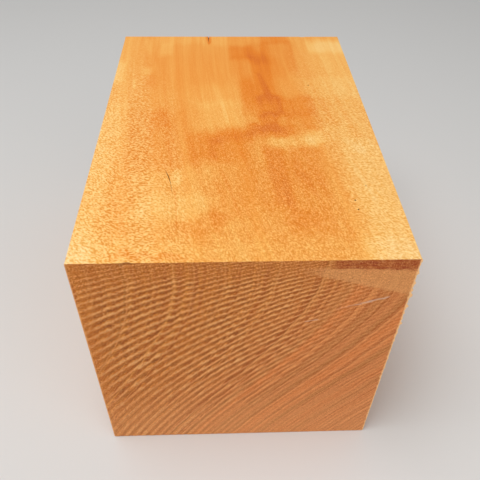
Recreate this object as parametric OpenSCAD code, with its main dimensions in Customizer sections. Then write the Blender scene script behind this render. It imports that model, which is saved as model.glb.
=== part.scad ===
// Spindle turning blank: one length of hardwood, planed square on its four
// long faces and crosscut by a circular saw at both ends, which stay as sawn.
// The grain runs along Y. The origin is the centre of the resting face, the
// front end is at -Y and the top face is at +Z. Both ends are cut alike.

/* [Stock] */
// Width between the two side faces
stock_w = 103; // [60:0.5:160]
// Height from the resting face to the top face
stock_h = 102.4; // [60:0.5:160]
// Length along the grain, from one sawn end to the other
stock_l = 152; // [90:1:450]
// Flat that the last pass of a hand plane leaves on each long arris
arris_flat = 0.3; // [0.1:0.05:1.5]

/* [Saw marks on the ends] */
// Height of the saw's arbor below the resting face
arbor_drop = 97.9; // [60:0.1:160]
// Reach of the blade's rim above the top face
rim_reach = 2.9; // [2:0.1:20]
// Feed of the timber between two marks as the cut starts
first_step = 6.77; // [5:0.01:9]
// Feed of the timber between two marks as the cut ends, when it has slowed
last_step = 1.92; // [1.6:0.01:5]
// Feed of the timber from the start of the cut to the first mark
first_mark_in = 8; // [5:0.1:12]
// Width of a mark
mark_w = 0.6; // [0.3:0.05:0.65]
// Depth of the first mark, where the timber chatters most
first_mark_d = 0.16; // [0.06:0.01:0.3]
// Depth of the last mark, where the cut has settled
last_mark_d = 0.05; // [0.03:0.01:0.3]

/* [Torn fibres on the exit arris] */
// Thickness of the torn fringe along the grain
fringe_t = 0.6; // [0.2:0.05:2]
// Height of the torn stretch, down from the top face
fringe_h = 58; // [20:0.5:60]
// Distance that the fibres between the splinters stand out past the side face
fuzz_out = 0.15; // [0.05:0.01:0.4]
// Distance that the longest splinter stands out past the side face
splinter_out = 1; // [0.4:0.05:2.5]

/* [Drying check at the back end] */
// Distance of the check from the left side face
check_from_side = 40; // [15:0.5:50]
// Length of the check along the top face
check_l = 7; // [3:0.5:30]
// Depth of the check down the end face
check_d = 9; // [3:0.5:30]
// Width of the check at its mouth
check_w = 0.5; // [0.2:0.05:2]
// Lean of the check from upright, towards the right side face, in degrees
check_lean = 25; // [0:1:40]

/* [Hairline crack in the top face] */
// Distance of the crack's front tip from the left side face
crack_from_side = 29.2; // [15:0.1:50]
// Distance of the crack's front tip from the front end
crack_from_end = 29.5; // [15:0.1:60]
// Length of the crack
crack_l = 15.4; // [5:0.1:25]
// Lean of the crack from the grain, in degrees
crack_lean = 12.8; // [0:0.1:20]
// Width of the crack at its middle
crack_w = 0.3; // [0.15:0.01:0.8]
// Depth of the crack
crack_d = 1.2; // [0.4:0.1:4]

/* [Chip under the top front edge] */
// Distance of the chip from the left side face
chip_from_side = 17.5; // [12:0.5:40]
// Radius of the hollow that the chip left
chip_r = 2.5; // [1.5:0.1:6]
// Depth of the hollow
chip_d = 0.4; // [0.2:0.05:1]

/* [Hidden] */

rim_facets = 360;
round_facets = 48;
// Cutters stand this far out of the face that they cut
proud = 0.01;

side_x = stock_w / 2;
end_y = stock_l / 2;

// The timber is fed level, past an arbor that stays still. Travel is how far
// the left side face has gone past the arbor, and the rim leaves the corner at
// the top left first, then the one at the bottom right last.
face_top = stock_h + arbor_drop;
blade_r = face_top + rim_reach;

// Distance from the arbor, along the feed, of the rim at a height above the
// arbor, and the other way round
function rim_back(height) = sqrt(blade_r ^ 2 - height ^ 2);
function rim_height(back) = back >= blade_r ? 0 : sqrt(blade_r ^ 2 - max(0, back) ^ 2);

first_travel = rim_back(face_top);
last_travel = stock_w + rim_back(arbor_drop);

// The feed slows gently from the start of the cut to its end
function step_at(travel) =
    let (done = min(1, (travel - first_travel) / (last_travel - first_travel)))
        first_step + (last_step - first_step) * (1 - cos(180 * done)) / 2;
function next_travel(travel) = travel + step_at(travel + step_at(travel) / 2);

mark_travels = [
    for (t = first_travel + first_mark_in; t < last_travel - last_step; t = next_travel(t)) t
];
mark_count = len(mark_travels);

// Each mark is the stretch of the rim that sweeps the face, with a short
// overrun at both ends, so neighbouring marks never cross
overrun = 1.2;
function mark_high(travel) = min(face_top + overrun, rim_height(travel - stock_w - overrun));
function mark_low(travel) = max(arbor_drop - overrun, rim_height(travel + overrun));

// Depth of mark k: the marks fade evenly from the first to the last
function mark_depth(k) =
    first_mark_d + (last_mark_d - first_mark_d) * k / max(1, mark_count - 1);

// The longer splinters: how far below the top face each one lies, how much of
// splinter_out it stands out, and how wide its root is
splinters = [
    [6.6, 0.5, 1.8], [10.8, 0.28, 1.4], [14.6, 0.3, 1.6], [19, 1, 2], [21.9, 0.35, 1.2],
    [27, 0.8, 2.4], [30.2, 0.25, 1.2], [35.3, 0.4, 2.2], [38.4, 0.3, 1.4],
    [43.5, 0.2, 1.4], [49.5, 0.22, 1.6], [55.8, 0.3, 1.8]
];
fibre_step = 0.55;
fringe_root = 0.8;
fibre_count = floor(fringe_h / fibre_step);
fibre_lengths = rands(0.1, 1, fibre_count + 1, 7);

// How far the fringe stands out at a depth below the top face
function splinter_at(depth) = max([
    for (s = splinters) splinter_out * s[1] * max(0, 1 - abs(depth - s[0]) * 2 / s[2])
]);
function fringe_at(i) =
    max(splinter_at(i * fibre_step), fuzz_out * fibre_lengths[i] * sin(180 * i / fibre_count));

// Extrudes an outline drawn across and up, along the grain towards the back
module along_grain(length) {
    translate([0, length, 0]) rotate([90, 0, 0]) linear_extrude(length) children();
}

// Sets a shape made at the front end on both ends, each as the other turned
// half way round
module on_both_ends() {
    for (turn = [0, 180]) rotate([0, 0, turn]) translate([0, -end_y, 0]) children();
}

module planed_stock() {
    a = arris_flat;
    translate([0, -end_y, 0]) along_grain(stock_l) polygon([
        [-side_x + a, 0], [side_x - a, 0], [side_x, a], [side_x, stock_h - a],
        [side_x - a, stock_h], [-side_x + a, stock_h], [-side_x, stock_h - a], [-side_x, a]
    ]);
}

// Fibres that the blade pushed out of the side face as it left the cut
module torn_fringe() {
    edge = [
        for (i = [0:fibre_count])
            [side_x + fringe_at(i), stock_h - arris_flat - i * fibre_step]
    ];
    root_x = side_x - fringe_root;
    along_grain(fringe_t)
        polygon(concat([[root_x, edge[0].y]], edge, [[root_x, edge[fibre_count].y]]));
}

// The groove that a flat-topped tooth leaves at one travel of the timber: an
// arc of the rim, sunk into the end face
module saw_mark(travel, depth) {
    high = asin(mark_high(travel) / blade_r);
    low = asin(mark_low(travel) / blade_r);
    translate([travel - side_x, 0, -arbor_drop]) rotate([90, 0, 0])
        rotate_extrude(angle = high - low, start = 180 - high, $fn = rim_facets)
            translate([blade_r - mark_w / 2, -depth]) square([mark_w, depth + proud]);
}

module saw_marks() {
    for (k = [0:mark_count - 1]) saw_mark(mark_travels[k], mark_depth(k));
}

// A wedge that is widest on the arris of the back end and the top face, and
// closes along the grain and downwards. It starts a little above the top face,
// so that it opens there also where it leans.
module drying_check() {
    above = check_w;
    translate([check_from_side - side_x, end_y, stock_h]) rotate([0, -check_lean, 0])
        intersection() {
            translate([0, 0, -check_d]) linear_extrude(check_d + above)
                polygon([[-check_w / 2, proud], [check_w / 2, proud], [0, -check_l]]);
            rotate([90, 0, 90]) translate([0, 0, -check_w]) linear_extrude(2 * check_w)
                polygon([[-check_l, above], [proud, above], [proud, -check_d], [-check_l, 0]]);
        }
}

module hairline_crack() {
    translate([crack_from_side - side_x, crack_from_end - end_y, stock_h - crack_d])
        rotate([0, 0, crack_lean]) linear_extrude(crack_d + proud)
            polygon([[0, 0], [crack_w / 2, crack_l / 2], [0, crack_l], [-crack_w / 2, crack_l / 2]]);
}

// A shallow hollow that opens on the front end and on the top face
module edge_chip() {
    translate([chip_from_side - side_x, -end_y - chip_r + chip_d, stock_h - chip_d])
        sphere(r = chip_r, $fn = round_facets);
}

module turning_blank() {
    color([0.86, 0.58, 0.3]) difference() {
        union() {
            planed_stock();
            on_both_ends() torn_fringe();
        }
        on_both_ends() saw_marks();
        drying_check();
        hairline_crack();
        edge_chip();
    }
}

turning_blank();
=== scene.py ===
"""A spindle turning blank of cherry: planed and waxed on its long faces, left as
sawn on its ends. Lengths are in millimetres until a mesh or a lamp is made."""
import math

import bpy
import numpy as np
from mathutils import Matrix, Vector


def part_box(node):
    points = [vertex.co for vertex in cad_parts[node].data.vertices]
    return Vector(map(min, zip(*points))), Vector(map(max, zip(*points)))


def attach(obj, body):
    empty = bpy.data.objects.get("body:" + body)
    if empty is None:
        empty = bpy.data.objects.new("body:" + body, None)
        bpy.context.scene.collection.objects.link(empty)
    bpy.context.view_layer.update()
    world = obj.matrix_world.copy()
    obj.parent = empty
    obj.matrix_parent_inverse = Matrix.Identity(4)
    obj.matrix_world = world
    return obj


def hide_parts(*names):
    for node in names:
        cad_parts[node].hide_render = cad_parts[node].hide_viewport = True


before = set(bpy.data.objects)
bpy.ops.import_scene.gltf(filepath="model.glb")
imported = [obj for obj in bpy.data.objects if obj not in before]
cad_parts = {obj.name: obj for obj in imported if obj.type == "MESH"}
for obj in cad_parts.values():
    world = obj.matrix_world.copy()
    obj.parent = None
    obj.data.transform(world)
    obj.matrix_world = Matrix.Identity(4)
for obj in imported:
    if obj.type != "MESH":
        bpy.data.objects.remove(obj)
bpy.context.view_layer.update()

MM = 0.001
NODE = "turning_blank"

# The blank. The frame's box adds the torn fibres to the width of the stock.
node_low, node_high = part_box(NODE)
STOCK_W = 103.0
STOCK_H = (node_high.z - node_low.z) / MM
STOCK_L = (node_high.y - node_low.y) / MM
SIDE_X = STOCK_W / 2
END_Y = STOCK_L / 2
ARRIS_ROUND = 0.3

# The cut of the circular saw. The timber is fed level past its arbor, and the
# feed from one mark to the next shrinks as the hands slow down.
ARBOR_DROP = 97.9
FACE_TOP = STOCK_H + ARBOR_DROP
BLADE_R = FACE_TOP + 2.9
FIRST_STEP = 6.77
LAST_STEP = 1.92
FIRST_MARK_IN = 8.0
MARK_DEPTH = 0.2
CHIP = {"across": 17.5, "down": 0.3, "half_width": 1.6, "depth": 0.45}

# Splinters on the exit arris: distance down from the top, reach, width of root
SPLINTERS = [
    (0.8, 0.25, 1.6), (6.0, 0.5, 1.6), (10.7, 0.55, 1.8), (13.9, 0.5, 1.4), (16.3, 1.0, 2.6),
    (21.4, 0.75, 1.7), (24.9, 0.3, 1.6), (27.8, 0.35, 1.6), (30.3, 0.6, 1.7), (35.3, 0.3, 2.0),
    (39.8, 0.35, 1.4), (45.5, 0.2, 1.4), (50.5, 0.25, 1.6), (56.0, 0.25, 1.8),
]
LONGEST_SPLINTER = node_high.x / MM - SIDE_X
FUZZ_REACH = 0.3
FRINGE_H = 58.0
FRINGE_T = 0.6

# Drying check in the top arris of the back end, and the hairline crack on top
CHECK = {"x": -11.5, "length": 7.0, "depth": 9.0, "width": 0.5, "lean": math.tan(math.radians(25))}
CRACK = {"front": (-22.3, -46.5), "length": 15.4, "lean": math.radians(12.8), "bow": 0.6,
         "width": 0.28, "depth": 1.2}
# Pinholes in the top face: x, y and radius
PITS = [(37.0, -53.6, 0.3), (36.8, -49.0, 0.32), (41.8, -41.5, 0.22), (31.0, 27.4, 0.28)]


# ---------------------------------------------------------------- small tools

def linear(hex_colour):
    """An sRGB hex colour as a linear colour with alpha."""
    values = [int(hex_colour[i:i + 2], 16) / 255 for i in (1, 3, 5)]
    return [v / 12.92 if v <= 0.04045 else ((v + 0.055) / 1.055) ** 2.4 for v in values] + [1.0]


def add(tree, kind, links=(), **settings):
    """Adds a node with its settings. links gives its inputs, in order or by name,
    each as a value, a socket or a node, whose first output is then used."""
    node = tree.nodes.new(kind)
    for name, value in settings.items():
        setattr(node, name, value)
    for name, value in links.items() if isinstance(links, dict) else enumerate(links):
        if isinstance(name, str):
            socket = next(s for s in node.inputs if s.name == name and s.enabled)
        else:
            socket = node.inputs[name]
        if isinstance(value, bpy.types.Node):
            value = next(s for s in value.outputs if s.enabled)
        if isinstance(value, bpy.types.NodeSocket):
            tree.links.new(value, socket)
        else:
            socket.default_value = value
    return node


def smoothstep(low, high, value):
    t = np.clip((value - low) / (high - low), 0, 1)
    return t * t * (3 - 2 * t)


def soft_noise(x, y, seed):
    """Smooth noise from -1 to 1 with a cell of 1, the same on every run."""
    table = np.random.default_rng(seed).uniform(-1, 1, (256, 256))
    xi, yi = np.floor(x).astype(int), np.floor(y).astype(int)
    fx, fy = x - xi, y - yi
    fx, fy = fx * fx * (3 - 2 * fx), fy * fy * (3 - 2 * fy)

    def at(i, j):
        return table[(xi + i) % 256, (yi + j) % 256]

    near = at(0, 0) * (1 - fx) + at(1, 0) * fx
    far = at(0, 1) * (1 - fx) + at(1, 1) * fx
    return near * (1 - fy) + far * fy


# ------------------------------------------------------------------- the form

def rim_back(height):
    """How far behind the arbor the blade's rim is, at a height above the arbor."""
    return np.sqrt(BLADE_R ** 2 - height ** 2)


def marks_left(travel):
    """How many marks the blade has left at a travel of the timber, where its step
    eases from the first to the last along half a cosine."""
    first, last = rim_back(FACE_TOP), STOCK_W + rim_back(ARBOR_DROP)
    quarter = math.pi / 2 * np.clip((travel - first) / (last - first), 0, 1)
    turned = np.arctan2(math.sqrt(LAST_STEP) * np.sin(quarter), math.sqrt(FIRST_STEP) * np.cos(quarter))
    return turned * 2 * (last - first) / (math.pi * math.sqrt(FIRST_STEP * LAST_STEP))


def saw_turns(across, down):
    """Marks since the first one, as the rim passes a point: whole on a groove."""
    travel = across + rim_back(FACE_TOP - down)
    return marks_left(travel) - marks_left(rim_back(FACE_TOP) + FIRST_MARK_IN)


def saw_bite(across, down):
    """How strongly the blade chattered at a point, from 0 to 1."""
    # It dies away towards the corner where the cut ends, and towards the foot
    fade = 1 - 0.85 * smoothstep(56, 94, across + 0.45 * (down - 26))
    fade = fade * (1 - 0.5 * smoothstep(48, 92, down))
    # and is weaker where the blade went in and close under the top edge
    entry = 0.45 + 0.55 * smoothstep(1.5, 7, across)
    top = 0.3 + 0.7 * smoothstep(2, 11, down)
    ripple = 0.85 + 0.2 * soft_noise(across / 7, down / 7, 3)
    return np.clip(fade * entry * top * ripple, 0, 1)


def end_relief(across, down):
    """How far the sawn face lies behind the flat end, in mm."""
    turns = saw_turns(across, down) + 0.1 * soft_noise(across / 1.6, down / 1.6, 5)
    bite = saw_bite(across, down)
    groove = (0.5 + 0.5 * np.cos(math.tau * turns)) ** 1.4
    torn = 0.03 * soft_noise(across / 0.8, down / 0.8, 8) + 0.02
    off = np.hypot(across - CHIP["across"], down - CHIP["down"])
    chip = np.maximum(0, CHIP["depth"] * (1 - (off / CHIP["half_width"]) ** 2))
    return MARK_DEPTH * bite * groove + np.abs(torn) + chip


def fringe_reach(down):
    """How far the torn fibres stand out past the side face, in mm."""
    reach = FUZZ_REACH * np.abs(soft_noise(down / 0.7, down * 0 + 4.5, 21))
    reach = reach * np.sin(np.pi * np.sqrt(np.clip(down / FRINGE_H, 0, 1)))
    for tip, length, root in SPLINTERS:
        stub = length * np.clip(1.7 - np.abs(down - tip) * 3.4 / root, 0, 1)
        reach = np.maximum(reach, stub)
    return np.minimum(reach, LONGEST_SPLINTER)


def end_lattice(cells, turned):
    """Points and saw attributes of one sawn end, rows from the bottom up. turned
    sets it on the back end, as the front one turned half way round."""
    across_line = np.linspace(0, STOCK_W, cells + 1)
    across_line[[1, -2]] = ARRIS_ROUND, STOCK_W - ARRIS_ROUND
    up_line = np.linspace(0, STOCK_H, cells + 1)
    up_line[[1, -2]] = ARRIS_ROUND, STOCK_H - ARRIS_ROUND
    across, up = np.meshgrid(across_line, up_line)
    down = STOCK_H - up
    x, z = across - SIDE_X, up.copy()
    corner = ARRIS_ROUND * (1 - math.sqrt(0.5))
    x[[0, 0, -1, -1], [0, -1, 0, -1]] += np.array([corner, -corner, corner, -corner])
    z[[0, 0, -1, -1], [0, -1, 0, -1]] += np.array([corner, corner, -corner, -corner])
    y = -END_Y + end_relief(across, down)
    x[:, -1] += fringe_reach(down[:, -1])
    y[:, -1] += 0.12 + 0.12 * soft_noise(down[:, -1] / 0.9, down[:, -1] * 0, 33)
    sign = -1 if turned else 1
    points = np.stack([sign * x, sign * y, z], -1)
    return points, (saw_turns(across, down), saw_bite(across, down))


def rim_of(grid):
    """Index pairs round the rim of a lattice, in one turn."""
    last = grid - 1
    rim = [(0, c) for c in range(last)] + [(r, last) for r in range(last)]
    rim += [(last, c) for c in range(last, 0, -1)] + [(r, 0) for r in range(last, 0, -1)]
    return rim


def build_blank(cells=188, coarse_rings=34):
    """The closed mesh of the blank: two sawn ends, and long faces between them that
    are fine at the ends and four times coarser along the middle."""
    grid = cells + 1
    vertices, faces, index = [], [], []
    marks = {"saw_turns": [], "saw_bite": []}
    for turned in (False, True):
        points, layers = end_lattice(cells, turned)
        start = len(vertices)
        vertices += points.reshape(-1, 3).tolist()
        for name, layer in zip(marks, layers):
            marks[name] += layer.ravel().tolist()
        index.append(start + np.arange(grid * grid).reshape(grid, grid))
        ids = index[-1]
        quads = np.stack([ids[:-1, :-1], ids[:-1, 1:], ids[1:, 1:], ids[1:, :-1]], -1).reshape(-1, 4)
        faces += quads.tolist()
    rim = rim_of(grid)
    front_rim = [int(index[0][r, c]) for r, c in rim]
    back_rim = [int(index[1][r, cells - c]) for r, c in rim]
    plain = np.array([vertices[i] for i in front_rim])
    plain[:, 0] = np.clip(plain[:, 0], -SIDE_X, SIDE_X)

    def ring(y, step):
        """A loop of new vertices round the stock at one place along the grain."""
        ids = []
        for p in plain[::step]:
            ids.append(len(vertices))
            vertices.append([p[0], y, p[2]])
        for values in marks.values():
            values.extend([0.0] * len(ids))
        return ids

    def join(a, b):
        for i in range(len(a)):
            j = (i + 1) % len(a)
            faces.append([a[i], b[i], b[j], a[j]])

    def join_fine(fine, coarse, flip):
        """Fans between a fine ring and a ring with a quarter of its vertices."""
        count = len(coarse)
        for i in range(count):
            p = [fine[(4 * i + k) % len(fine)] for k in range(5)]
            a, b = coarse[i], coarse[(i + 1) % count]
            fans = [[p[0], a, p[1]], [p[1], a, p[2]], [p[2], a, b], [p[2], b, p[3]], [p[3], b, p[4]]]
            faces.extend([f[::-1] for f in fans] if flip else fans)

    # How far in from each end the fine rings stop and the coarse ones start
    fine_to, coarse_from = 2.0, 4.5
    near = [front_rim, ring(-END_Y + FRINGE_T, 1), ring(-END_Y + fine_to, 1)]
    far = [ring(END_Y - fine_to, 1), ring(END_Y - FRINGE_T, 1), back_rim]
    coarse = [ring(y, 4) for y in np.linspace(-END_Y + coarse_from, END_Y - coarse_from, coarse_rings)]
    for a, b in zip(near, near[1:]):
        join(a, b)
    join_fine(near[-1], coarse[0], False)
    for a, b in zip(coarse, coarse[1:]):
        join(a, b)
    join_fine(far[0], coarse[-1], True)
    for a, b in zip(far, far[1:]):
        join(a, b)

    mesh = bpy.data.meshes.new("cherry_blank")
    mesh.from_pydata((np.array(vertices) * MM).tolist(), [], faces)
    for name, values in marks.items():
        layer = mesh.attributes.new(name, "FLOAT", "POINT")
        layer.data.foreach_set("value", values)
    end_faces = 2 * cells * cells
    slots = [1] * end_faces + [0] * (len(faces) - end_faces)
    mesh.polygons.foreach_set("material_index", slots)
    mesh.polygons.foreach_set("use_smooth", [True] * len(faces))
    mesh.update()
    mesh.validate()
    mesh.set_sharp_from_angle(angle=math.radians(35))
    blank = bpy.data.objects.new("cherry_blank", mesh)
    bpy.context.scene.collection.objects.link(blank)
    return blank


def prism(vertices, faces, lower, upper):
    """Adds a closed solid between two outlines with the same number of points."""
    start, count = len(vertices), len(lower)
    vertices += lower + upper
    faces.append([start + i for i in range(count)][::-1])
    faces.append([start + count + i for i in range(count)])
    for i in range(count):
        j = (i + 1) % count
        faces.append([start + i, start + j, start + count + j, start + count + i])


def cut_cracks(blank, crack_walls):
    """Cuts the drying check, the hairline crack and the pits out of the blank."""
    vertices, faces = [], []
    top = STOCK_H
    half, back = CHECK["width"] / 2, END_Y
    # The cutters stand this far out of the wood
    over = 0.2
    mouth = half * (1 + over / CHECK["length"])
    upper = [(CHECK["x"] - mouth, back + over, top + over),
             (CHECK["x"], back - CHECK["length"], top + over),
             (CHECK["x"] + mouth, back + over, top + over)]
    foot = top - CHECK["depth"]
    lower = [(CHECK["x"] - 0.02, back + over, foot), (CHECK["x"], back - 0.3, foot),
             (CHECK["x"] + 0.02, back + over, foot)]
    upper = [(x - CHECK["lean"] * over, y, z) for x, y, z in upper]
    lower = [(x + CHECK["lean"] * CHECK["depth"], y, z) for x, y, z in lower]
    prism(vertices, faces, lower, upper)
    x0, y0 = CRACK["front"]
    lean = CRACK["lean"]
    upper, lower = [], []
    for along, side in ((0, 0), (0.5, 0.2), (0.75, 0.45), (1, 0), (0.75, -0.45), (0.5, -0.2)):
        length = along * CRACK["length"]
        width = side * CRACK["width"] + CRACK["bow"] * math.sin(math.pi * along)
        x = x0 - math.sin(lean) * length + math.cos(lean) * width
        y = y0 + math.cos(lean) * length + math.sin(lean) * width
        upper.append((x, y, top + over))
        lower.append((x, y, top - CRACK["depth"]))
    prism(vertices, faces, lower, upper)
    for x, y, r in PITS:
        ring = [math.tau * i / 7 for i in range(7)]
        upper = [(x + r * math.cos(a), y + 1.3 * r * math.sin(a), top + over) for a in ring]
        lower = [(x + 0.4 * r * math.cos(a), y + 0.5 * r * math.sin(a), top - 1.5 * r) for a in ring]
        prism(vertices, faces, lower, upper)
    mesh = bpy.data.meshes.new("crack_cutters")
    mesh.from_pydata((np.array(vertices) * MM).tolist(), [], faces)
    # The cutters' walls carry the painted shade of the crack and the pits
    mesh.materials.append(crack_walls)
    cutter = bpy.data.objects.new("crack_cutters", mesh)
    bpy.context.scene.collection.objects.link(cutter)
    cut = blank.modifiers.new("cracks", "BOOLEAN")
    cut.operation = "DIFFERENCE"
    cut.solver = "EXACT"
    cut.object = cutter
    cut.material_mode = "TRANSFER"
    bpy.context.view_layer.objects.active = blank
    bpy.ops.object.modifier_apply(modifier=cut.name)
    bpy.data.objects.remove(cutter)
    bpy.data.meshes.remove(mesh)


# -------------------------------------------------------------- the materials

# The grain runs off the line of the blank: its slope at the front end, and how
# much less it is with each millimetre towards the back
GRAIN_SLOPE = 0.29
GRAIN_BEND = 0.00185


def bare_material(name):
    """A material with an empty node tree, to be filled."""
    material = bpy.data.materials.new(name)
    material.use_nodes = True
    material.node_tree.nodes.clear()
    return material, material.node_tree


def tint(tree, colour, share, hex_colour):
    """Lays a hex colour over a colour by a share from 0 to 1."""
    return add(tree, "ShaderNodeMix", {"Factor": share, "A": colour, "B": linear(hex_colour)},
               data_type="RGBA")


def grain_place(tree):
    """Where a point lies in the tree it came from: its place in mm, with x from the
    left side and down from the top face, and its distance across the growth rings."""
    place = add(tree, "ShaderNodeVectorMath",
                [add(tree, "ShaderNodeTexCoord").outputs["Object"], (1 / MM,) * 3, (SIDE_X, 0, 0)],
                operation="MULTIPLY_ADD")
    x, y, z = add(tree, "ShaderNodeSeparateXYZ", [place]).outputs
    down = add(tree, "ShaderNodeMath", [STOCK_H, z], operation="SUBTRACT")
    # The rings stand upright at the top face and lean over towards the foot
    bend = add(tree, "ShaderNodeMath", [down, -0.0000433, 0.0109], operation="MULTIPLY_ADD")
    bend = add(tree, "ShaderNodeMath", [down, bend, -0.21], operation="MULTIPLY_ADD")
    bend = add(tree, "ShaderNodeMath", [x, 0.003, bend], operation="MULTIPLY_ADD")
    across = add(tree, "ShaderNodeMath", [down, bend, x], operation="MULTIPLY_ADD")
    # and run off the line of the blank, most at the front
    from_front = add(tree, "ShaderNodeMath", [y, END_Y], operation="ADD")
    slope = add(tree, "ShaderNodeMath", [from_front, -GRAIN_BEND / 2, GRAIN_SLOPE],
                operation="MULTIPLY_ADD")
    across = add(tree, "ShaderNodeMath", [from_front, slope, across], operation="MULTIPLY_ADD")
    return place, x, y, down, across


# Figure on the top face, with painted sheen, in mm from the left side and from the
# back end: left, right, back, front, softness of the sides, softness of the ends, lean, tone
FIGURE_AND_SHEEN = [
    # painted sheen: the board is lighter towards both sides and the front, where the light glances off the
    # wax
    (-20, 8, -20, 175, 10, 10, 0.0, 0.09), (-20, 7, 64, 175, 5, 14, 0.0, 0.1),
    (-20, 11, 135, 175, 8, 8, 0.0, 0.04), (84, 125, -20, 175, 12, 10, 0.04, 0.08),
    (91, 125, 16, 175, 6, 8, 0.03, 0.09), (88, 125, 96, 175, 6, 12, 0.0, 0.10),
    (-20, 125, 143, 175, 9, 7, 0.0, 0.11), (87, 125, 5, 17, 6, 8, 0.0, 0.24),
    (80, 125, 42, 58, 8, 6, 0.0, 0.08), (15, 40, -9, 9, 6, 8, 0.0, 0.10),
    (42, 49, -9, 9, 3, 6, 0.0, 0.10), (17, 23, 8, 21, 3, 6, 0.0, 0.12),
    # the dark heart of the figure, its own tone deepened by painted shade of the curl: a block, and a river
    # that runs on down from it
    (49.8, 61, 10.5, 24.5, 3, 6, 0.0, -0.18), (57, 69, 7, 29, 6, 9, 0.0, -0.13),
    (50, 56, 22, 38, 3, 9, 0.0, -0.08), (59, 67, 18, 62, 5, 12, 0.03, -0.17),
    (55, 72, 24, 60, 8, 12, 0.03, -0.09), (53.5, 59, 40, 71, 3, 10, 0.03, -0.15),
    (59.5, 70, 56.5, 73, 3, 4, 0.0, -0.23), (60, 67, 71, 84, 3, 4, 0.0, -0.27),
    (55, 71, 79, 88, 5, 4, 0.0, -0.22), (68, 83, 57.5, 73, 4, 6, 0.0, -0.16),
    (66, 82, 70, 86, 6, 10, 0.0, -0.10), (42, 59, 83, 91, 5, 5, -0.2, -0.13),
    (32.5, 56, 85.5, 103.5, 5, 7, 0.0, -0.15), (41.3, 43.8, 86, 102, 1.5, 5, 0.0, -0.09),
    (61, 67.5, 95, 128, 3, 6, 0.07, -0.21), (66, 81, 95, 141, 4, 7, 0.0, -0.12),
    (50, 63, 104, 131, 6, 9, 0.0, -0.07), (70, 73, 102, 113, 2, 5, 0.1, -0.10),
    (72, 76, 109, 122, 2, 5, 0.1, -0.08), (64, 77, 129, 138, 4, 4, 0.0, -0.08),
    # and paler shades of it round about
    (66, 78, -12, 9, 3, 5, 0.0, -0.15), (65, 80, 8, 40, 6, 12, 0.0, -0.07),
    (75.5, 79.5, 6, 38, 2, 9, 0.0, -0.07), (13, 18, 18, 52, 3, 9, 0.05, -0.08),
    (16, 48, 18, 52, 7, 12, 0.0, -0.03), (11, 31, 68, 108, 6, 10, 0.0, -0.08),
    (18, 25, 69, 82, 3, 6, 0.0, -0.08), (41, 47, 112, 138, 3, 7, 0.0, -0.08),
    (60, 84, 141, 152, 6, 5, 0.0, -0.06), (30, 47, 131, 139, 5, 4, -0.6, -0.12),
    (68, 82, 118, 145, 5, 6, 0.0, 0.05),
    # lights between them: painted sheen where the curl throws the light back
    (63, 80, 87.5, 95, 6, 4.5, 0.0, 0.16), (77.5, 83, 83.5, 93.5, 3, 4.5, 0.0, 0.23),
    (83, 92, 81, 91, 5, 5, 0.0, 0.10), (36, 54, 61, 82, 5, 7, 0.08, 0.12),
    (34, 53, 48, 64, 6, 8, 0.0, 0.05), (90, 101, 89, 98, 3, 3, 0.0, 0.12),
    (11.5, 16, 32.5, 39.5, 3, 5, 0.0, 0.15), (-20, 3.5, 29, 46, 2, 5, 0.0, 0.16),
    (17, 43, 107, 139, 6, 6, 0.0, 0.07), (28, 31.5, 108, 116, 2, 3, 0.0, 0.18),
    (18, 42, 121, 133, 6, 5, -0.5, 0.12), (42, 53, 133, 141, 4, 4, 0.0, 0.07),
    # and a thin orange streak along the front arris
    (13, 35, 147.6, 150.4, 8, 1.4, 0.03, -0.2),
]
# Streaks along the grain: x and distance from the back at both tips, width, tone
STREAKS = [
    # a stain in front of the drying check, and the ends of the hairline crack
    (39.6, -3, 40.4, 8, 1.6, -0.30), (29.4, 119, 31.2, 135, 0.4, -0.22),
    (24.9, 103, 26.2, 110, 0.5, -0.12), (62, 38, 65.5, 60, 2.4, -0.12), (22, 66, 25, 82, 3.0, -0.05),
    (24, 84, 29, 113, 1.6, -0.07), (45, 108, 50, 128, 1.2, -0.07), (52, 98, 60, 128, 1.4, -0.06),
    (37, 84, 39, 100, 1.3, -0.06), (73.5, 58, 75, 72, 1.2, -0.08), (81, 60, 84, 84, 1.2, -0.07),
    (83, 42, 97, 134, 1.2, -0.05), (91, 45, 95, 80, 1.4, -0.07), (11, 2, 16, 34, 3.0, 0.08),
    (43, 46, 48, 80, 1.6, 0.09), (48.5, 60, 52, 80, 1.3, 0.06), (44.5, 112, 48, 126, 1.2, 0.08),
    (58, 24, 59, 46, 2.2, 0.06), (90, 100, 96, 130, 2.0, 0.05), (38.5, 44, 41, 70, 1.0, 0.06),
    (8.4, 44, 9.6, 52, 0.8, 0.2),
]


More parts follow.
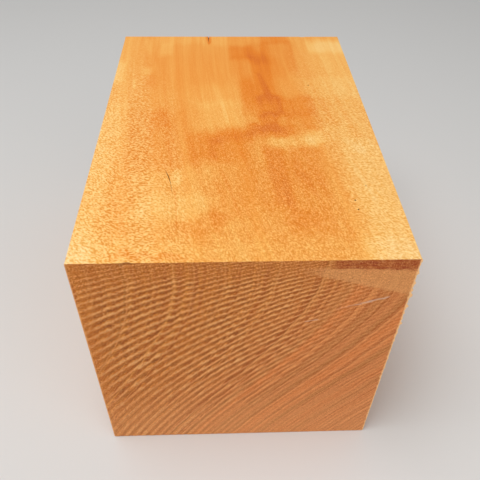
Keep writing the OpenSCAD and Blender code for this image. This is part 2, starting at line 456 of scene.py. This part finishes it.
def curly_figure_and_sheen(tree, across, x, y, down, on_top):
    """What the figure adds to the tone: on the top face broad soft blocks of painted sheen
    and shade where the curl dips, over the wood's own tone, and streaks along it, and on the others slow
    bands along the rings."""
    from_back = add(tree, "ShaderNodeMath", [END_Y, y], operation="SUBTRACT")
    ragged_space = add(tree, "ShaderNodeCombineXYZ",
                       [add(tree, "ShaderNodeMath", [across, 0.2], operation="MULTIPLY"),
                        add(tree, "ShaderNodeMath", [y, 0.04], operation="MULTIPLY"), 0.0])
    ragged = add(tree, "ShaderNodeTexNoise", {"Vector": ragged_space, "Scale": 1.0, "Detail": 4.0})
    ragged = add(tree, "ShaderNodeVectorMath", [ragged.outputs["Color"], (0.5, 0.5, 0.5)],
                 operation="SUBTRACT")
    spot = add(tree, "ShaderNodeCombineXYZ", [x, from_back, 0.0])
    spot = add(tree, "ShaderNodeVectorMath", [ragged, (4.0, 10.0, 0.0), spot], operation="MULTIPLY_ADD")
    for left, right, back, front, soft_side, soft_end, lean, tone in FIGURE_AND_SHEEN:
        spot = soft_block(tree, spot, (left, right, back, front), (soft_side, soft_end), lean, tone)
    for x0, back, x1, front, width, tone in STREAKS:
        lean = (x1 - x0) / (front - back)
        centre = (x0 + x1) / 2
        edges = (centre - width / 2, centre + width / 2, back, front)
        spot = soft_block(tree, spot, edges, (width * 0.6, (front - back) * 0.2), lean, tone)
    placed = add(tree, "ShaderNodeSeparateXYZ", [spot]).outputs[2]
    broad_space = add(tree, "ShaderNodeCombineXYZ",
                      [add(tree, "ShaderNodeMath", [across, 0.16], operation="MULTIPLY"),
                       add(tree, "ShaderNodeMath", [y, 0.01], operation="MULTIPLY"),
                       add(tree, "ShaderNodeMath", [down, 0.03], operation="MULTIPLY")])
    broad = add(tree, "ShaderNodeTexNoise", {"Vector": broad_space, "Scale": 1.0, "Detail": 4.0})
    broad = add(tree, "ShaderNodeMapRange", [broad, 0.35, 0.68, -0.16, 0.14],
                interpolation_type="SMOOTHSTEP")
    return add(tree, "ShaderNodeMix", {"Factor": on_top, "A": broad, "B": placed}, data_type="FLOAT")


def soft_block(tree, spot, edges, softness, lean, tone):
    """A block with soft edges, sheared by its lean. The spot is a place on the face
    whose third value is the tone so far, and the block adds its own tone to that."""
    left, right, back, front = edges
    half_x, half_y = (right - left) / 2, (front - back) / 2
    middle = ((left + right) / 2, (back + front) / 2, 0)
    off = add(tree, "ShaderNodeVectorMath", [spot, middle], operation="SUBTRACT")
    if lean:
        slid = add(tree, "ShaderNodeVectorMath", [off, (0, lean, 0)], operation="DOT_PRODUCT")
        slid = add(tree, "ShaderNodeVectorMath", {"Vector": (-1, 0, 0), "Scale": slid.outputs["Value"]},
                   operation="SCALE")
        off = add(tree, "ShaderNodeVectorMath", [off, slid], operation="ADD")
    off = add(tree, "ShaderNodeVectorMath", [off], operation="ABSOLUTE")
    inner = (half_x - softness[0] / 2, half_y - softness[1] / 2, 0)
    outer = (half_x + softness[0] / 2, half_y + softness[1] / 2, 1)
    share = add(tree, "ShaderNodeMapRange", {"Vector": off, "From Min": inner, "From Max": outer,
                                             "To Min": (1, 1, 1), "To Max": (0, 0, 0)},
                data_type="FLOAT_VECTOR", interpolation_type="SMOOTHSTEP")
    share_x, share_y, _ = add(tree, "ShaderNodeSeparateXYZ", [share]).outputs
    share = add(tree, "ShaderNodeMath", [share_x, share_y], operation="MULTIPLY")
    added = add(tree, "ShaderNodeVectorMath", {"Vector": (0, 0, tone), "Scale": share}, operation="SCALE")
    return add(tree, "ShaderNodeVectorMath", [spot, added], operation="ADD")


# Ray flecks on the top face, from the left side to the right: turn of the dashes in
# degrees, length and width in mm, the stretch of x that they fill, the y at which
# they are faintest, and how strong their darks and their lights are
FLECK_ZONES = [
    (-34, 1.0, 0.42, -40, 8, 78, -0.9, 2.3),
    (-10, 1.0, 0.42, 8, 19, 70, -1.1, 2.5),
    (-48, 0.9, 0.3, 19, 30, 55, -1.0, 1.5),
    (-64, 0.9, 0.22, 30, 50, 45, -1.2, 1.1),
    (-60, 0.9, 0.22, 50, 80, 50, -1.4, 1.2),
    (-30, 1.0, 0.28, 80, 140, 75, -1.2, 1.5),
]
# They grow from their faintest to full over this many mm towards the front
FLECK_FADE = 100.0
FAINTEST_FLECK = 0.12
# Half of the stretch over which one zone gives way to the next
ZONE_BLEND = 4


def ray_flecks(tree, place, x, y):
    """Rays cut almost along their length: bright lace by the left side, and short
    fine dashes elsewhere. Below 0 on the dips between the rays, above 0 on the rays."""
    waver = add(tree, "ShaderNodeTexNoise", {"Vector": place, "Scale": 0.3, "Detail": 1.0})
    waved = add(tree, "ShaderNodeVectorMath", [waver.outputs["Color"], (1.2, 1.2, 1.2), place],
                operation="MULTIPLY_ADD")
    # The edges of the zones lean a little, to the left towards the back
    zone_x = add(tree, "ShaderNodeMath", [y, 0.1, x], operation="MULTIPLY_ADD")
    total = 0.0
    for turn, length, width, low, high, back, dark, light in FLECK_ZONES:
        rotation = (0, 0, math.radians(-turn))
        lined = add(tree, "ShaderNodeMapping", {"Vector": waved, "Rotation": rotation})
        cell = add(tree, "ShaderNodeVectorMath", [lined, (1 / length, 1 / width, 1 / width)],
                   operation="MULTIPLY")
        dash = add(tree, "ShaderNodeTexNoise",
                   {"Vector": cell, "Scale": 1.0, "Detail": 1.0, "Roughness": 0.6})
        dash = add(tree, "ShaderNodeMapRange", [dash, 0.38, 0.66, dark, light],
                   interpolation_type="SMOOTHSTEP")
        share = 1.0
        for edge, outside, inside in ((low, 0.0, 1.0), (high, 1.0, 0.0)):
            side = add(tree, "ShaderNodeMapRange",
                       [zone_x, edge - ZONE_BLEND, edge + ZONE_BLEND, outside, inside],
                       interpolation_type="SMOOTHSTEP")
            share = add(tree, "ShaderNodeMath", [share, side], operation="MULTIPLY")
        near = add(tree, "ShaderNodeMapRange", [y, back, back - FLECK_FADE, FAINTEST_FLECK, 1.0],
                   interpolation_type="SMOOTHSTEP")
        share = add(tree, "ShaderNodeMath", [share, near], operation="MULTIPLY")
        total = add(tree, "ShaderNodeMath", [share, dash, total], operation="MULTIPLY_ADD")
    return total


# Tones of the planed wood, from the dark heart of the figure to the brightest rays
PLANED_TONES = [
    (0.0, "#DA6C0A"), (0.21, "#E88218"), (0.47, "#F1A246"), (0.64, "#F7B85E"), (0.82, "#FBCB7C"),
    (1.0, "#FFDCA2"),
]


def planed_cherry():
    """Cherry, planed with the grain and waxed: a warm tan with slow orange figure, its
    sheen painted into its tone, fine streaks along the grain, and ray flecks that catch the light."""
    material, tree = bare_material("planed_waxed_cherry")
    place, x, y, down, across = grain_place(tree)

    # Streaks of fibre: half a millimetre wide, some 25 mm long
    streak_space = add(tree, "ShaderNodeCombineXYZ",
                       [add(tree, "ShaderNodeMath", [across, 1.4], operation="MULTIPLY"),
                        add(tree, "ShaderNodeMath", [y, 0.035], operation="MULTIPLY"),
                        add(tree, "ShaderNodeMath", [down, 0.9], operation="MULTIPLY")])
    fibres = add(tree, "ShaderNodeTexNoise", {"Vector": streak_space, "Scale": 1.0, "Detail": 3.0})

    # Growth rings: slow bands a few millimetres wide
    band_space = add(tree, "ShaderNodeMath", [across, 0.3], operation="MULTIPLY")
    bands = add(tree, "ShaderNodeTexNoise", {"W": band_space, "Scale": 1.0, "Detail": 3.0},
                noise_dimensions="1D")

    # The rays lie in the top face. The other faces cut them across, as fine dark
    # dashes along the grain, and show more of the fibre.
    on_top = add(tree, "ShaderNodeMapRange", [down, 0.5, 2.5, 1.0, 0.0], interpolation_type="SMOOTHSTEP")
    dash_space = add(tree, "ShaderNodeVectorMath", [place, (1.9, 0.3, 1.9)], operation="MULTIPLY")
    dashes = add(tree, "ShaderNodeTexNoise", {"Vector": dash_space, "Scale": 1.0, "Detail": 2.0})
    dashes = add(tree, "ShaderNodeMapRange", [dashes, 0.5, 0.32, 0.0, -0.9])
    flecks = add(tree, "ShaderNodeMix", {"Factor": on_top, "A": dashes, "B": ray_flecks(tree, place, x, y)},
                 data_type="FLOAT")
    strength = add(tree, "ShaderNodeMapRange", [on_top, 0.0, 1.0, 0.5, 0.24])
    fibres = add(tree, "ShaderNodeMath", [fibres, 0.5], operation="SUBTRACT")
    tone = add(tree, "ShaderNodeMath", [fibres, strength, 0.36], operation="MULTIPLY_ADD")
    tone = add(tree, "ShaderNodeMath", [bands, 0.16, tone], operation="MULTIPLY_ADD")
    # The figure's tone holds painted sheen, on the curl and along the sides and front of the top
    figure = curly_figure_and_sheen(tree, across, x, y, down, on_top)
    tone = add(tree, "ShaderNodeMath", [figure, tone], operation="ADD")
    tone = add(tree, "ShaderNodeMath", [flecks, 0.1, tone], operation="MULTIPLY_ADD")

    colour = add(tree, "ShaderNodeValToRGB", [tone])
    stops = colour.color_ramp.elements
    for at, hex_colour in PLANED_TONES[1:-1]:
        stops.new(at).color = linear(hex_colour)
    stops[0].color = linear(PLANED_TONES[0][1])
    stops[-1].color = linear(PLANED_TONES[-1][1])

    # Between the rays the fibre ends dip and look browner, and the rays look paler
    dips = add(tree, "ShaderNodeMapRange", [flecks, 0.0, -1.0, 0.0, 0.32])
    rays = add(tree, "ShaderNodeMapRange", [flecks, 0.0, 1.2, 0.0, 0.42])
    colour = tint(tree, colour, dips, "#C27416")
    colour = tint(tree, colour, rays, "#FFD58E")

    bump_height = add(tree, "ShaderNodeMath", [flecks, 0.4, fibres], operation="MULTIPLY_ADD")
    bump = add(tree, "ShaderNodeBump", {"Strength": 0.35, "Distance": 0.00006, "Height": bump_height})
    roughness = add(tree, "ShaderNodeMapRange", [flecks, -1.0, 1.0, 0.52, 0.38])
    surface = add(tree, "ShaderNodeBsdfPrincipled",
                  {"Base Color": colour, "Roughness": roughness, "Normal": bump})
    surface.inputs["IOR"].default_value = 1.45
    surface.inputs["Specular IOR Level"].default_value = 0.3
    add(tree, "ShaderNodeOutputMaterial", [surface])
    return material


# Thin pale lines between growth rings, where they meet the top edge of the end,
# in mm from the left side: place, half width and strength
RING_LINES = [
    (4.8, 0.4, 0.5), (12.5, 0.4, 0.4), (16.0, 0.4, 0.8), (24.0, 0.35, 0.4), (30.3, 0.45, 0.7),
    (36.5, 0.4, 0.5), (46.0, 0.4, 0.5), (51.0, 0.35, 0.4), (56.0, 0.4, 0.5), (62.0, 0.45, 0.7),
    (70.0, 0.35, 0.5), (76.3, 0.45, 0.8), (83.0, 0.4, 0.4), (94.0, 0.5, 0.6), (97.5, 0.4, 0.5),
    (104.0, 0.5, 0.6), (109.0, 0.45, 0.7), (118.0, 0.5, 0.6), (123.0, 0.5, 0.5), (131.0, 0.6, 0.5),
    (139.0, 0.5, 0.4),
]
# Fine dark lines beside some of them
DARK_LINES = [(75.5, 0.45, 0.35), (44.6, 0.4, 0.25), (15.2, 0.4, 0.35)]
# Broad streaks of orange wood along the rings, and duller olive ones between them
ORANGE_STREAKS = [
    (89.0, 3.2, 0.75), (94.0, 2.2, 0.3), (112.5, 5.0, 0.5), (119.5, 2.4, 0.3), (134.0, 5.0, 0.25),
    (150.0, 6.0, 0.2),
]
OLIVE_STREAKS = [
    (85.0, 2.4, 0.3), (99.0, 4.5, 0.3), (106.5, 2.4, 0.4), (123.0, 3.5, 0.35), (141.0, 4.0, 0.2),
]


def ring_bands(tree, across, bands):
    """The sum of soft bands along the growth rings, each a place, half width and strength."""
    total = 0.0
    for place, half, strength in bands:
        off = add(tree, "ShaderNodeMath", [across, place], operation="SUBTRACT")
        off = add(tree, "ShaderNodeMath", [off], operation="ABSOLUTE")
        band = add(tree, "ShaderNodeMapRange", [off, 0.0, half, strength, 0.0],
                   interpolation_type="SMOOTHSTEP")
        total = add(tree, "ShaderNodeMath", [band, total], operation="ADD")
    return total


def saw_strokes(tree, place, across, lines):
    """The look of the chatter: painted shade in its grooves and painted highlights on its ridges, and how
    strong they are.
    Each stroke wavers, fades in places, and slips where it crosses a growth ring."""
    turns = add(tree, "ShaderNodeAttribute", attribute_name="saw_turns").outputs["Fac"]
    bite = add(tree, "ShaderNodeAttribute", attribute_name="saw_bite").outputs["Fac"]
    ragged = add(tree, "ShaderNodeTexNoise",
                 {"Vector": place, "Scale": 0.7, "Detail": 4.0, "Roughness": 0.7})
    slip = add(tree, "ShaderNodeTexNoise", {"W": across, "Scale": 0.45, "Detail": 2.0},
               noise_dimensions="1D")
    # Both noises lie about a half, so this leaves the strokes on their grooves
    wavering, slipping = 0.6, 0.5
    centred = -(wavering + slipping) / 2
    shift = add(tree, "ShaderNodeMath", [ragged, wavering, centred], operation="MULTIPLY_ADD")
    shift = add(tree, "ShaderNodeMath", [slip, slipping, shift], operation="MULTIPLY_ADD")
    shifted = add(tree, "ShaderNodeMath", [turns, shift], operation="ADD")
    angle = add(tree, "ShaderNodeMath", [shifted, math.tau], operation="MULTIPLY")
    wave = add(tree, "ShaderNodeMath", [angle], operation="COSINE")
    fading = add(tree, "ShaderNodeTexNoise", {"Vector": place, "Scale": 0.3, "Detail": 3.0})
    fading = add(tree, "ShaderNodeMapRange", [fading, 0.35, 0.6, 0.6, 1.1])
    bite = add(tree, "ShaderNodeMath", [bite, 0.08], operation="ADD")
    bite = add(tree, "ShaderNodeMath", [bite, fading], operation="MULTIPLY")
    unbroken = add(tree, "ShaderNodeMath", [1.0, lines], operation="SUBTRACT")
    # Painted shade in the grooves, with some burnish
    groove = add(tree, "ShaderNodeMapRange", [wave, -0.2, 1.0, 0.0, 0.75], interpolation_type="SMOOTHSTEP")
    groove = add(tree, "ShaderNodeMath", [groove, bite], operation="MULTIPLY")
    groove = add(tree, "ShaderNodeMath", [groove, unbroken], operation="MULTIPLY")
    # Painted highlight on the ridges between the grooves
    ridge_highlight = add(tree, "ShaderNodeMapRange", [wave, -0.2, -1.0, 0.0, 0.7], interpolation_type="SMOOTHSTEP")
    ridge_highlight = add(tree, "ShaderNodeMath", [ridge_highlight, bite], operation="MULTIPLY")
    return groove, ridge_highlight


def on_front(tree, share, y):
    """Keeps a share on the front end only."""
    front = add(tree, "ShaderNodeMath", [y, 0.0], operation="LESS_THAN")
    return add(tree, "ShaderNodeMath", [share, front], operation="MULTIPLY")


def between(tree, x, down, upper, lower, soft):
    """1 between two lines across the end, each given by the depth of two points on
    it: (x, down) at its left and at its right."""
    share = None
    for (x0, d0), (x1, d1), sign in ((*upper, 1), (*lower, -1)):
        slope = (d1 - d0) / (x1 - x0)
        line = add(tree, "ShaderNodeMath", [x, slope, d0 - x0 * slope], operation="MULTIPLY_ADD")
        off = add(tree, "ShaderNodeMath", [down, line], operation="SUBTRACT")
        side = add(tree, "ShaderNodeMapRange", [off, -soft * sign, soft * sign, 0.0, 1.0],
                   interpolation_type="SMOOTHSTEP")
        share = side if share is None else add(tree, "ShaderNodeMath", [share, side], operation="MULTIPLY")
    return share


def with_tips(tree, share, x, left, right, strength=1.0):
    """Fades a share out at both of its tips, each given as the x where nothing is left
    and the x where it is whole, and weakens it by a strength."""
    for bare, whole in (left, right):
        tip = add(tree, "ShaderNodeMapRange", [x, bare, whole, 0.0, 1.0])
        share = add(tree, "ShaderNodeMath", [share, tip], operation="MULTIPLY")
    return add(tree, "ShaderNodeMath", [share, strength], operation="MULTIPLY")


def sawn_cherry():
    """Cherry end grain, straight from a circular saw: darker than the planed faces,
    brown where the blade chattered and redder where it ran smooth."""
    material, tree = bare_material("sawn_end_cherry")
    place, x, y, down, across = grain_place(tree)

    # The rings waver a little
    waver = add(tree, "ShaderNodeTexNoise", {"Vector": place, "Scale": 0.12, "Detail": 2.0})
    across = add(tree, "ShaderNodeMath", [waver, 2.4, across], operation="MULTIPLY_ADD")
    across = add(tree, "ShaderNodeMath", [across, 1.2], operation="SUBTRACT")
    rings = add(tree, "ShaderNodeTexNoise", {"W": across, "Scale": 0.45, "Detail": 5.0, "Roughness": 0.8},
                noise_dimensions="1D")
    rings = add(tree, "ShaderNodeMapRange", [rings, 0.36, 0.64, 0.0, 1.0])
    lines = ring_bands(tree, across, RING_LINES)

    # Brown and ochre where the blade chattered, redder towards the lower right
    warm = add(tree, "ShaderNodeMath", [down, 0.75, x], operation="MULTIPLY_ADD")
    warm = add(tree, "ShaderNodeMapRange", [warm, 50.0, 125.0, 0.0, 1.0], interpolation_type="SMOOTHSTEP")
    brown = tint(tree, linear("#C6600F"), rings, "#E2882C")
    red = tint(tree, linear("#BC5A22"), rings, "#EC9858")
    wood = add(tree, "ShaderNodeMix", {"Factor": warm, "A": brown, "B": red}, data_type="RGBA")
    orange = ring_bands(tree, across, ORANGE_STREAKS)
    orange = add(tree, "ShaderNodeMath", [orange, warm], operation="MULTIPLY")
    wood = tint(tree, wood, orange, "#F08840")
    olive = ring_bands(tree, across, OLIVE_STREAKS)
    olive = add(tree, "ShaderNodeMath", [olive, warm], operation="MULTIPLY")
    wood = tint(tree, wood, olive, "#AC7030")
    # paler towards the foot, and browner close under the top edge
    foot = add(tree, "ShaderNodeMapRange", [down, 55.0, 110.0, 0.0, 0.5], interpolation_type="SMOOTHSTEP")
    wood = tint(tree, wood, foot, "#F0A465")
    rim = add(tree, "ShaderNodeMapRange", [down, 1.0, 12.0, 0.4, 0.0], interpolation_type="SMOOTHSTEP")
    wood = tint(tree, wood, rim, "#BC6614")

    # Painted shade in the saw grooves and painted highlights on their ridges
    groove, ridge_highlight = saw_strokes(tree, place, across, lines)
    wood = tint(tree, wood, groove, "#86400A")
    wood = tint(tree, wood, ridge_highlight, "#FFC680")
    pale = add(tree, "ShaderNodeMath", [lines, 0.7], operation="MULTIPLY")
    wood = tint(tree, wood, pale, "#E8A25A")
    wood = tint(tree, wood, ring_bands(tree, across, DARK_LINES), "#8C4A16")

    # A smooth pale lens by the top right corner, with a dark red patch over it
    ragged_space = add(tree, "ShaderNodeVectorMath", [place, (0.22, 1.0, 1.3)], operation="MULTIPLY")
    ragged = add(tree, "ShaderNodeTexNoise",
                 {"Vector": ragged_space, "Scale": 1.0, "Detail": 4.0, "Roughness": 0.65})
    edge = add(tree, "ShaderNodeMath", [ragged, 2.4, down], operation="MULTIPLY_ADD")
    edge = add(tree, "ShaderNodeMath", [edge, 1.2], operation="SUBTRACT")
    lens = between(tree, x, edge, ((70, 3.2), (103, 4.2)), ((70, 5.6), (103, 15.8)), 0.6)
    lens_tip = add(tree, "ShaderNodeMapRange", [x, 67.0, 77.0, 0.0, 0.7], interpolation_type="SMOOTHSTEP")
    lens = add(tree, "ShaderNodeMath", [lens, lens_tip], operation="MULTIPLY")
    wood = tint(tree, wood, on_front(tree, lens, y), "#E8A160")
    patch = between(tree, x, edge, ((78, 0.0), (103, -0.4)), ((78, 3.4), (103, 4.6)), 0.6)
    ragged_x = add(tree, "ShaderNodeMath", [ragged, 9.0, x], operation="MULTIPLY_ADD")
    patch_side = add(tree, "ShaderNodeMapRange", [ragged_x, 80.0, 84.0, 0.0, 1.0])
    streaked = add(tree, "ShaderNodeMapRange", [ragged, 0.4, 0.56, 1.0, 0.45])
    patch = add(tree, "ShaderNodeMath", [patch, patch_side], operation="MULTIPLY")
    patch = add(tree, "ShaderNodeMath", [patch, streaked], operation="MULTIPLY")
    wood = tint(tree, wood, on_front(tree, patch, y), "#A03C10")
    # and a thin smear of wax below them, with a few specks further down its line
    wax = between(tree, x, edge, ((80, 22.2), (96.5, 16.3)), ((80, 22.8), (96.5, 17.0)), 0.25)
    wax = with_tips(tree, wax, x, (80.0, 82.0), (97.0, 96.0))
    thick = add(tree, "ShaderNodeMapRange", [x, 82.0, 93.0, 0.15, 0.6], interpolation_type="SMOOTHSTEP")
    wax = add(tree, "ShaderNodeMath", [wax, thick], operation="MULTIPLY")
    specks = between(tree, x, edge, ((71, 28.2), (76, 27.0)), ((71, 28.7), (76, 27.5)), 0.2)
    specks = with_tips(tree, specks, x, (71.0, 72.0), (76.0, 75.0), 0.5625)
    wax = add(tree, "ShaderNodeMath", [wax, specks], operation="MAXIMUM")
    wood = tint(tree, wood, on_front(tree, wax, y), "#E8CDB6")

    # The chip under the top edge lies in its own shade
    nick = between(tree, x, down, ((14, -1.0), (21, -1.0)), ((14, 1.2), (21, 0.6)), 0.3)
    nick = with_tips(tree, nick, x, (14.2, 16.0), (19.6, 18.4), 0.4)
    wood = tint(tree, wood, on_front(tree, nick, y), "#5E2C0C")

    # Grit of cut fibre ends
    grit = add(tree, "ShaderNodeTexNoise", {"Vector": place, "Scale": 3.4, "Detail": 2.0, "Roughness": 0.7})
    rough = add(tree, "ShaderNodeMapRange", [warm, 0.0, 1.0, 0.9, 0.45])
    dull = add(tree, "ShaderNodeMapRange", [grit, 0.49, 0.33, 0.0, rough])
    wood = tint(tree, wood, dull, "#8C3A08")
    bright = add(tree, "ShaderNodeMapRange", [grit, 0.53, 0.68, 0.0, rough])
    wood = tint(tree, wood, bright, "#FFBE78")

    # Torn fibres on both arrises where the blade came out: a ragged pale strip, their own paler wood with
    # painted light where the lamp from above catches them
    side = add(tree, "ShaderNodeMath", [y], operation="SIGN")
    from_middle = add(tree, "ShaderNodeMath", [SIDE_X, x], operation="SUBTRACT")
    side = add(tree, "ShaderNodeMath", [side, from_middle], operation="MULTIPLY")
    width = add(tree, "ShaderNodeTexNoise", {"Vector": place, "Scale": 0.7, "Detail": 3.0})
    reach = add(tree, "ShaderNodeMath", [width, 1.1, side], operation="MULTIPLY_ADD")
    torn = add(tree, "ShaderNodeMapRange", [reach, SIDE_X - 0.1, SIDE_X + 0.35, 0.0, 1.0],
               interpolation_type="SMOOTHSTEP")
    wood = tint(tree, wood, torn, "#FFC88C")
    # Painted highlight: a thin light line along the arris where the blade went in
    entry = add(tree, "ShaderNodeMapRange", [side, -SIDE_X + 0.5, -SIDE_X + 0.15, 0.0, 0.55])
    wood = tint(tree, wood, entry, "#FFC888")

    bump = add(tree, "ShaderNodeBump", {"Strength": 0.7, "Distance": 0.00012, "Height": grit})
    surface = add(tree, "ShaderNodeBsdfPrincipled", {"Base Color": wood, "Normal": bump})
    surface.inputs["Roughness"].default_value = 0.62
    surface.inputs["IOR"].default_value = 1.45
    surface.inputs["Specular IOR Level"].default_value = 0.25
    add(tree, "ShaderNodeOutputMaterial", [surface])
    return material


def dark_crack():
    """The walls of a drying crack: painted shade, dark brown and blotchy."""
    material, tree = bare_material("painted_shade_crack")
    place = grain_place(tree)[0]
    shade_blotches = add(tree, "ShaderNodeTexNoise", {"Vector": place, "Scale": 0.9, "Detail": 2.0})
    colour = tint(tree, linear("#2C1609"), shade_blotches, "#6E3D1A")
    surface = add(tree, "ShaderNodeBsdfPrincipled", {"Base Color": colour})
    surface.inputs["Roughness"].default_value = 0.85
    add(tree, "ShaderNodeOutputMaterial", [surface])
    return material


# ------------------------------------------------------------------ the stage

def pale_floor():
    """A wide pale floor, a hair below the blank so that the two faces never fight."""
    mesh = bpy.data.meshes.new("floor")
    half, gap = 1.6, 0.0002
    z = node_low.z - gap
    corners = [(-half, -half, z), (half, -half, z), (half, half, z), (-half, half, z)]
    mesh.from_pydata(corners, [], [(0, 1, 2, 3)])
    floor = bpy.data.objects.new("floor", mesh)
    bpy.context.scene.collection.objects.link(floor)
    material = bpy.data.materials.new("pale_floor")
    material.use_nodes = True
    shader = material.node_tree.nodes["Principled BSDF"]
    shader.inputs["Base Color"].default_value = linear("#D9D8D6")
    shader.inputs["Roughness"].default_value = 0.8
    floor.data.materials.append(material)


def area_lamp(name, place, aim, size, watts):
    """A square soft lamp at a place, turned to face its aim."""
    lamp = bpy.data.lights.new(name, "AREA")
    lamp.shape = "SQUARE"
    lamp.size = size
    lamp.energy = watts
    holder = bpy.data.objects.new(name, lamp)
    holder.location = place
    holder.rotation_euler = (Vector(aim) - Vector(place)).to_track_quat("-Z", "Y").to_euler()
    bpy.context.scene.collection.objects.link(holder)


def studio():
    """An even grey sky, with a soft key lamp overhead and a fill lamp in front."""
    world = bpy.data.worlds.new("studio")
    world.use_nodes = True
    world.node_tree.nodes["Background"].inputs["Color"].default_value = (1, 1, 1, 1)
    world.node_tree.nodes["Background"].inputs["Strength"].default_value = 0.36
    bpy.context.scene.world = world
    middle = (0, 0, STOCK_H * MM / 2)
    area_lamp("key", (-0.22, -0.16, 0.85), middle, size=0.5, watts=4.9)
    area_lamp("fill", (0.45, -0.7, 0.35), middle, size=0.8, watts=2.0)


def camera():
    """Looks down on the blank from in front, as a phone held over it does."""
    eye = Vector((-7.14, -185.15, 215.57)) * MM
    pitch, yaw, roll = (math.radians(a) for a in (43.7253, 2.8693, 1.2667))
    ahead = Vector((math.sin(yaw) * math.cos(pitch), math.cos(yaw) * math.cos(pitch), -math.sin(pitch)))
    right = Vector((math.cos(yaw), -math.sin(yaw), 0))
    up = right.cross(ahead)
    right, up = math.cos(roll) * right + math.sin(roll) * up, math.cos(roll) * up - math.sin(roll) * right
    data = bpy.data.cameras.new("camera")
    focal_px, picture_px = 549.3, 480
    data.sensor_width = 36.0
    data.lens = focal_px / picture_px * data.sensor_width
    data.clip_start = 0.01
    holder = bpy.data.objects.new("camera", data)
    turn = Matrix((right, up, -ahead)).transposed()
    holder.matrix_world = Matrix.Translation(eye) @ turn.to_4x4()
    bpy.context.scene.collection.objects.link(holder)
    bpy.context.scene.camera = holder


camera()
blank = build_blank()
blank.data.materials.append(planed_cherry())
blank.data.materials.append(sawn_cherry())
cut_cracks(blank, dark_crack())
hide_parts(NODE)
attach(blank, "root")
pale_floor()
studio()
bpy.context.scene.view_settings.view_transform = "Standard"
